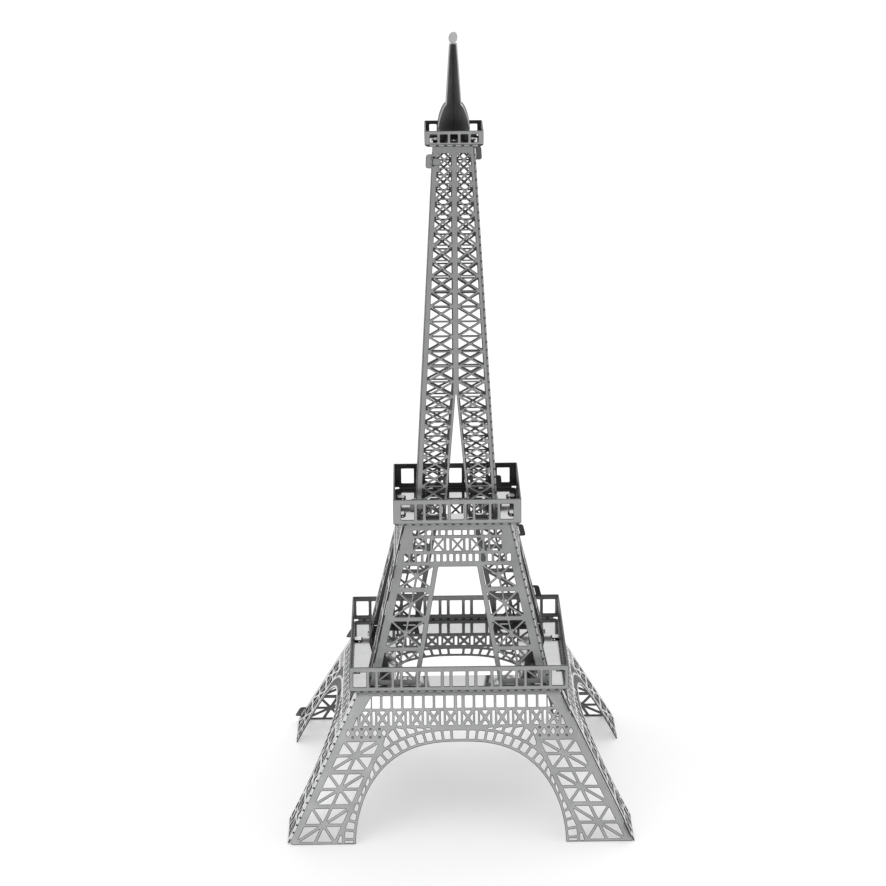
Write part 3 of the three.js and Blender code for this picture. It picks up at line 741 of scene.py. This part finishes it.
def foot_slots(level):
    depth = lambda floors: (floors * SHEET + JOINT_GAP + level.drop) * math.tan(level.lean)
    outside = -level.bottom - depth(1) - SLOT_PLAY
    inside = -level.bottom + level.plan - depth(0) + SLOT_PLAY
    half = FLOOR_TAB / 2 + SLOT_PLAY
    return [rectangle(u - half, u + half, outside, inside) for u in level.foot_tabs]


def turned(loop, angle):
    cos, sin = math.cos(angle), math.sin(angle)
    return [(p[0] * cos - p[1] * sin, p[0] * sin + p[1] * cos, 0.05) for p in loop]


RAIL = 4.8  # height of the lower two railings
TOP_RAIL = 2.8
FIRST_OPENING = 11  # half-widths of the openings in the floors
SECOND_OPENING = 4.6


def rail_holes(rail, panes, wide, narrow, foot, cap, bar):
    """Openings of a railing: a wide one first and last, with a narrow one between each two."""
    pitch = wide + bar + (narrow + bar if narrow else 0)
    height = rail - foot - cap
    holes = row(panes, pitch, wide, foot, height)
    return holes + (row(panes - 1, pitch, narrow, foot, height) if narrow else [])


def platform(z, half, opening, rail, holes, front_slots, corner_slots, seed):
    """One sheet whose four railings are folded up round its slotted floor."""
    sheet = Sheet(seed)
    slots = [turned(s, q * math.pi / 2) for q in range(4) for s in front_slots] + corner_slots
    if opening:
        slots.append([(*p[:2], 0.25) for p in rectangle(-opening, opening, -opening, opening)])
    edge = half - RAIL_FOLD
    lift = Matrix.Translation((0, 0, z))
    sheet.plate(rectangle(-edge, edge, -edge, edge), slots, lift, top=SHEET, turned=True)
    for quarter in range(4):
        spin = lift @ Matrix.Rotation(quarter * math.pi / 2, 4, "Z")
        side = half - (quarter % 2) * (SHEET + JOINT_GAP)
        place = spin @ Matrix.Translation((0, -half, 0)) @ Matrix.Rotation(math.pi / 2, 4, "X")
        outline = [(-side, RAIL_FOLD, 0.15), (side, RAIL_FOLD, 0.15), (side, rail, 0.2), (-side, rail, 0.2)]
        sheet.plate(outline, holes, place)
        turn = spin.to_3x3()
        ends = [spin @ Vector((x * (half - 0.7), -half, 0)) for x in (-1, 1)]
        outward, down = turn @ Vector((0, -1, 0)), turn @ Vector((0, 0, -1))
        sheet.bend(ends[0], ends[1], outward, down, RAIL_FOLD, RAIL_FOLD_GAP)
    return sheet


# ---------------------------------------------------------------- the spire

SPIRE_BASE_HALF = 3.8
DOME_POWER = 2 / 1.45  # rounder than the CAD's dome, as the photograph shows it
DOME_BASE = 119.6
DOME_TOP = 123.4
DOME_TOP_HALF = 1.85
DOME_STEPS = 24
SPIRE_TOP_HALF = 0.9
SPIRE_NECK_HALF = 0.45
DISC_RADIUS = 1.02
DISC_STEPS = 48
HALVING_Z = 125.2
SPIRE_TAB = 0.9
SPIRE_TAB_AT = 2.7  # from the axis to the middle of a foot tab
SPIRE_TAB_DEPTH = 0.6


def spire_sheet(turn, with_disc, seed):
    """A spire plate, drawn up its diagonal from the top floor, with its halving slot."""
    foot = SHEET + JOINT_GAP
    slot = SHEET / 2 + JOINT_GAP
    edge = [
        (SPIRE_TAB_AT - SPIRE_TAB / 2, foot), (SPIRE_TAB_AT - SPIRE_TAB / 2, -SPIRE_TAB_DEPTH),
        (SPIRE_TAB_AT + SPIRE_TAB / 2, -SPIRE_TAB_DEPTH), (SPIRE_TAB_AT + SPIRE_TAB / 2, foot),
        (SPIRE_BASE_HALF, foot),
    ]
    for i in range(DOME_STEPS + 1):
        angle = i / DOME_STEPS * math.pi / 2
        edge.append((
            DOME_TOP_HALF + (SPIRE_BASE_HALF - DOME_TOP_HALF) * max(math.cos(angle), 0) ** DOME_POWER,
            DOME_BASE - TOP_Z + (DOME_TOP - DOME_BASE) * math.sin(angle) ** DOME_POWER,
        ))
    edge.append((SPIRE_TOP_HALF, TIP_Z - TOP_Z - 2 * DISC_RADIUS))
    halving = HALVING_Z - TOP_Z
    if with_disc:
        centre = TIP_Z - TOP_Z - DISC_RADIUS
        start = -math.acos(SPIRE_NECK_HALF / DISC_RADIUS)
        angles = [lerp(start, math.pi - start, i / DISC_STEPS) for i in range(DISC_STEPS + 1)]
        head = [(DISC_RADIUS * math.cos(a), centre + DISC_RADIUS * math.sin(a)) for a in angles]
        gap = [(-slot, foot), (-slot, halving), (slot, halving), (slot, foot)]
        outline = [*gap, *edge, *head, *flip(edge)]
    else:
        # the sign of the gap is wrong here and in the CAD, so the plates overlap by it
        top = edge[-1][1]
        low = halving + JOINT_GAP
        head = [(slot, top), (slot, low), (-slot, low), (-slot, top)]
        outline = [*edge, *head, *flip(edge)]
    sheet = Sheet(seed)
    upright = Matrix.Translation((0, 0, TOP_Z)) @ Matrix.Rotation(turn, 4, "Z")
    upright = upright @ Matrix.Rotation(math.pi / 2, 4, "X")
    sheet.plate(outline, [], upright, top=SHEET / 2)
    # faces of the disc take the lighter, painted-light material
    for i, face in enumerate(sheet.faces):
        if sheet.wears[i] != CUT and all(sheet.spots[k].z > TIP_Z - 2 * DISC_RADIUS for k in face):
            sheet.wears[i] = PAINTED_LIT
    return sheet


def spire_slots():
    half = SPIRE_TAB / 2 + SLOT_PLAY
    across = SHEET / 2 + SLOT_PLAY
    slot = rectangle(SPIRE_TAB_AT - half, SPIRE_TAB_AT + half, -across, across)
    return [turned(slot, (i + 0.5) * math.pi / 2) for i in range(4)]


# ---------------------------------------------------------------- materials

def nodes_of(material):
    material.use_nodes = True
    tree = material.node_tree
    tree.nodes.clear()
    return tree, tree.nodes, tree.links


def steel(name, dark, light, rough, bump):
    """Rolled stainless sheet: a fine grain along the sheet, faint stains, and uneven polish, between a dark
    and a light tone that carry painted light and shade.
    """
    material = bpy.data.materials.new(name)
    tree, nodes, links = nodes_of(material)
    out = nodes.new("ShaderNodeOutputMaterial")
    shader = nodes.new("ShaderNodeBsdfPrincipled")
    links.new(shader.outputs["BSDF"], out.inputs["Surface"])
    shader.inputs["Metallic"].default_value = 1.0
    shader.inputs["Anisotropic"].default_value = 0.35

    place = nodes.new("ShaderNodeAttribute")
    place.attribute_name = "sheet_place"
    stretch = nodes.new("ShaderNodeMapping")
    stretch.inputs["Scale"].default_value = (16.0, 0.55, 4.0)
    links.new(place.outputs["Vector"], stretch.inputs["Vector"])
    grain = nodes.new("ShaderNodeTexNoise")
    grain.inputs["Scale"].default_value = 1.0
    grain.inputs["Detail"].default_value = 6.0
    grain.inputs["Roughness"].default_value = 0.62
    links.new(stretch.outputs["Vector"], grain.inputs["Vector"])
    stains = nodes.new("ShaderNodeTexNoise")
    stains.inputs["Scale"].default_value = 0.22
    stains.inputs["Detail"].default_value = 4.0
    stains.inputs["Distortion"].default_value = 0.6
    links.new(place.outputs["Vector"], stains.inputs["Vector"])
    specks = nodes.new("ShaderNodeTexNoise")
    specks.inputs["Scale"].default_value = 7.5
    specks.inputs["Detail"].default_value = 3.0
    links.new(place.outputs["Vector"], specks.inputs["Vector"])

    blend = nodes.new("ShaderNodeMix")
    blend.data_type = "FLOAT"
    blend.inputs["Factor"].default_value = 0.45
    links.new(grain.outputs["Fac"], blend.inputs["A"])
    links.new(stains.outputs["Fac"], blend.inputs["B"])
    tone = nodes.new("ShaderNodeValToRGB")
    tone.color_ramp.elements[0].position = 0.32
    tone.color_ramp.elements[0].color = (*dark, 1)
    tone.color_ramp.elements[1].position = 0.66
    tone.color_ramp.elements[1].color = (*light, 1)
    links.new(blend.outputs["Result"], tone.inputs["Fac"])
    links.new(tone.outputs["Color"], shader.inputs["Base Color"])

    polish = nodes.new("ShaderNodeMapRange")
    polish.inputs["From Min"].default_value = 0.3
    polish.inputs["From Max"].default_value = 0.7
    polish.inputs["To Min"].default_value = rough[0]
    polish.inputs["To Max"].default_value = rough[1]
    mixed = nodes.new("ShaderNodeMix")
    mixed.data_type = "FLOAT"
    mixed.inputs["Factor"].default_value = 0.5
    links.new(specks.outputs["Fac"], mixed.inputs["A"])
    links.new(stains.outputs["Fac"], mixed.inputs["B"])
    links.new(mixed.outputs["Result"], polish.inputs["Value"])
    links.new(polish.outputs["Result"], shader.inputs["Roughness"])

    relief = nodes.new("ShaderNodeBump")
    relief.inputs["Strength"].default_value = bump
    relief.inputs["Distance"].default_value = 0.00002
    links.new(grain.outputs["Fac"], relief.inputs["Height"])
    links.new(relief.outputs["Normal"], shader.inputs["Normal"])
    return material


def pale_floor():
    material = bpy.data.materials.new("studio_floor")
    tree, nodes, links = nodes_of(material)
    out = nodes.new("ShaderNodeOutputMaterial")
    shader = nodes.new("ShaderNodeBsdfPrincipled")
    links.new(shader.outputs["BSDF"], out.inputs["Surface"])
    shader.inputs["Roughness"].default_value = 0.9
    shader.inputs["Specular IOR Level"].default_value = 0.1
    shader.inputs["Emission Color"].default_value = (1, 1, 1, 1)
    shader.inputs["Emission Strength"].default_value = 0.35
    noise = nodes.new("ShaderNodeTexNoise")
    noise.inputs["Scale"].default_value = 3.0
    tone = nodes.new("ShaderNodeValToRGB")
    tone.color_ramp.elements[0].color = (0.64, 0.64, 0.643, 1)
    tone.color_ramp.elements[1].color = (0.67, 0.67, 0.67, 1)
    links.new(noise.outputs["Fac"], tone.inputs["Fac"])
    links.new(tone.outputs["Color"], shader.inputs["Base Color"])
    return material


# The outsides of the three tiers are one steel in three painted tones: painted light, lighter on the lower
# tier, and painted shade, darker on the upper tier and on the railings
outside_low_painted_light = steel("steel_outside_lower_painted_light", (0.55, 0.555, 0.56), (0.7, 0.702, 0.705), (0.3, 0.44), 0.3)
outside_middle_painted_light = steel("steel_outside_middle_painted_light", (0.45, 0.455, 0.46), (0.58, 0.582, 0.585), (0.3, 0.42), 0.3)
outside_high_painted_shade = steel("steel_outside_upper_painted_shade", (0.29, 0.292, 0.296), (0.38, 0.382, 0.386), (0.3, 0.42), 0.3)
# the inner sides of the tiers, the same steel painted dark: painted shade
inner_painted_shade = steel("steel_inner_painted_shade", (0.1, 0.1, 0.104), (0.17, 0.172, 0.175), (0.26, 0.38), 0.2)
# the inner sides of the railings, painted shade: lighter on the first platform, darker higher up
first_rail_inner_painted_shade = steel("steel_first_railing_inner_painted_shade", (0.25, 0.25, 0.255), (0.36, 0.362, 0.365), (0.3, 0.4), 0.2)
high_rail_inner_painted_shade = steel("steel_high_railing_inner_painted_shade", (0.06, 0.06, 0.063), (0.11, 0.112, 0.114), (0.26, 0.38), 0.2)
# the cut and etched edges: their dark tone is painted shade, while their rougher etched finish is the sheet's
# own
cut_edge_etched_painted_shade = steel("steel_cut_edge_etched_painted_shade", (0.04, 0.04, 0.042), (0.14, 0.14, 0.144), (0.3, 0.55), 0.4)
# the spire's plates, the same steel painted darker: painted shade
spire_painted_shade = steel("steel_spire_painted_shade", (0.15, 0.15, 0.153), (0.23, 0.232, 0.235), (0.26, 0.38), 0.2)
# the spire's cut edges, painted lighter: a painted highlight
spire_edge_painted_highlight = steel("steel_spire_edge_painted_highlight", (0.4, 0.4, 0.405), (0.56, 0.56, 0.565), (0.25, 0.4), 0.3)
# the spire's disc, the same steel painted lighter: painted light
disc_painted_light = steel("steel_disc_painted_light", (0.42, 0.42, 0.424), (0.5, 0.502, 0.505), (0.26, 0.38), 0.2)
# the platforms' up-facing floors, painted lighter: painted light; their mirror polish is roughness
platform_floor_painted_light = steel("steel_platform_floor_painted_light", (0.48, 0.482, 0.485), (0.6, 0.602, 0.605), (0.05, 0.1), 0.06)

# ---------------------------------------------------------------- the pieces

lower_pattern, middle_pattern, upper_pattern = lower_face(), middle_face(), upper_face()
TIERS = (
    (lower, lower_pattern, (0, 3), "lower_legs_front_left"),
    (lower, lower_pattern, (2, 1), "lower_legs_rear_right"),
    (middle, middle_pattern, (0, 1), "middle_legs_front_right"),
    (middle, middle_pattern, (2, 3), "middle_legs_rear_left"),
    (upper, upper_pattern, (0, 1), "upper_tower_front_right"),
    (upper, upper_pattern, (2, 3), "upper_tower_rear_left"),
)
# each tier's outside wears its own painted-light tone of the one steel
FACE_PAINTED_TONES = {id(lower): outside_low_painted_light, id(middle): outside_middle_painted_light, id(upper): outside_high_painted_shade}
for number, (level, pattern, quarters, node) in enumerate(TIERS):
    finish = (FACE_PAINTED_TONES[id(level)], inner_painted_shade, cut_edge_etched_painted_shade)
    tier_sheet(level, pattern, quarters, number + 1).finish(f"{node}_sheet", finish, node)

rails = rail_holes(RAIL, 9, 2.25, 0.97, 1.15, 0.9, 0.54)
slots = head_slots(lower) + foot_slots(middle)
first = platform(FIRST_Z, FIRST_HALF, FIRST_OPENING, RAIL, rails, slots, [], 11)
rails = rail_holes(RAIL, 5, 2.25, 0.97, 1.15, 0.9, 0.54)
slots = head_slots(middle) + foot_slots(upper)
second = platform(SECOND_Z, SECOND_HALF, SECOND_OPENING, RAIL, rails, slots, [], 12)
rails = rail_holes(TOP_RAIL, 5, 1.25, 0, 0.8, 0.62, 0.5)
top = platform(TOP_Z, TOP_HALF, 0, TOP_RAIL, rails, head_slots(upper), spire_slots(), 13)
# each platform's railings wear the upper tier's painted shade outside and their own painted shade inside
for sheet, node, back in (
    (first, "first_platform", first_rail_inner_painted_shade),
    (second, "second_platform", high_rail_inner_painted_shade),
    (top, "top_platform", high_rail_inner_painted_shade),
):
    # the upper side of the floor is the only level face that looks up, and it wears the lighter painted-light
    # floor tone
    for i, face in enumerate(sheet.faces):
        if sheet.wears[i] == INSIDE and len(face) == 3:
            a, b, c = [sheet.spots[k] for k in face]
            if (b - a).cross(c - a).normalized().z > 0.9:
                sheet.wears[i] = PAINTED_LIT
    sheet.finish(f"{node}_sheet", (outside_high_painted_shade, back, cut_edge_etched_painted_shade, platform_floor_painted_light), node)

for turn, with_disc, node in (
    (math.pi / 4, True, "spire_plate_with_disc"), (-math.pi / 4, False, "spire_cross_plate"),
):
    sheet = spire_sheet(turn, with_disc, 21 + with_disc)
    sheet.finish(f"{node}_sheet", (spire_painted_shade, spire_painted_shade, spire_edge_painted_highlight, disc_painted_light), node)

# ---------------------------------------------------------------- studio

bpy.ops.mesh.primitive_grid_add(x_subdivisions=4, y_subdivisions=4, size=6)
ground = bpy.context.object
ground.name = "studio_floor"
ground.data.materials.append(pale_floor())

world = bpy.data.worlds.new("studio")
bpy.context.scene.world = world
world.use_nodes = True
tree = world.node_tree
tree.nodes.clear()
out = tree.nodes.new("ShaderNodeOutputWorld")
back = tree.nodes.new("ShaderNodeBackground")
tree.links.new(back.outputs["Background"], out.inputs["Surface"])
coords = tree.nodes.new("ShaderNodeTexCoord")
axes = tree.nodes.new("ShaderNodeSeparateXYZ")
tree.links.new(coords.outputs["Generated"], axes.inputs["Vector"])
ramp = tree.nodes.new("ShaderNodeMapRange")
ramp.inputs["From Min"].default_value = -0.9
ramp.inputs["From Max"].default_value = 0.3
ramp.inputs["To Min"].default_value = 0.45
ramp.inputs["To Max"].default_value = 1.05
tree.links.new(axes.outputs["Y"], ramp.inputs["Value"])
path = tree.nodes.new("ShaderNodeLightPath")
see = tree.nodes.new("ShaderNodeMix")
see.data_type = "FLOAT"
see.inputs["B"].default_value = 1.0
tree.links.new(path.outputs["Is Camera Ray"], see.inputs["Factor"])
tree.links.new(ramp.outputs["Result"], see.inputs["A"])
tree.links.new(see.outputs["Result"], back.inputs["Strength"])
back.inputs["Color"].default_value = (1, 1, 1, 1)


def softbox(name, place, aim, size, power):
    light = bpy.data.lights.new(name, "AREA")
    light.shape = "RECTANGLE"
    light.size, light.size_y = size
    light.energy = power
    lamp = bpy.data.objects.new(name, light)
    bpy.context.scene.collection.objects.link(lamp)
    lamp.location = place
    lamp.rotation_euler = (Vector(aim) - Vector(place)).to_track_quat("-Z", "Y").to_euler()
    return lamp


softbox("key_softbox", (-0.5, -0.5, 1.0), (0, 0, 0.05), (0.8, 0.8), 3.0)
softbox("rear_softbox", (0.3, 0.9, 0.9), (0, 0, 0.05), (1.2, 0.6), 3.0)

# The camera, at the photograph's viewing angle
YAW, PITCH, ROLL = 0.0088, -0.2827, -0.0085
FOCAL_PIXELS, FRAME_PIXELS, SENSOR = 3207, 886, 36
forward = Vector((math.sin(YAW) * math.cos(PITCH), math.cos(YAW) * math.cos(PITCH), math.sin(PITCH)))
right = Vector((math.cos(YAW), -math.sin(YAW), 0))
up = right.cross(forward)
right, up = (
    right * math.cos(ROLL) + up * math.sin(ROLL), up * math.cos(ROLL) - right * math.sin(ROLL),
)
lens = bpy.data.cameras.new("camera")
lens.sensor_width = SENSOR
lens.lens = FOCAL_PIXELS * SENSOR / FRAME_PIXELS
lens.clip_start, lens.clip_end = 0.01, 20
camera = bpy.data.objects.new("camera", lens)
bpy.context.scene.collection.objects.link(camera)
camera.matrix_world = Matrix.Translation(Vector((-7.03, -540.8, 220.2)) * MM) @ Matrix((
    (right.x, up.x, -forward.x, 0),
    (right.y, up.y, -forward.y, 0),
    (right.z, up.z, -forward.z, 0),
    (0, 0, 0, 1),
))
bpy.context.scene.camera = camera
bpy.context.scene.view_settings.view_transform = "Standard"
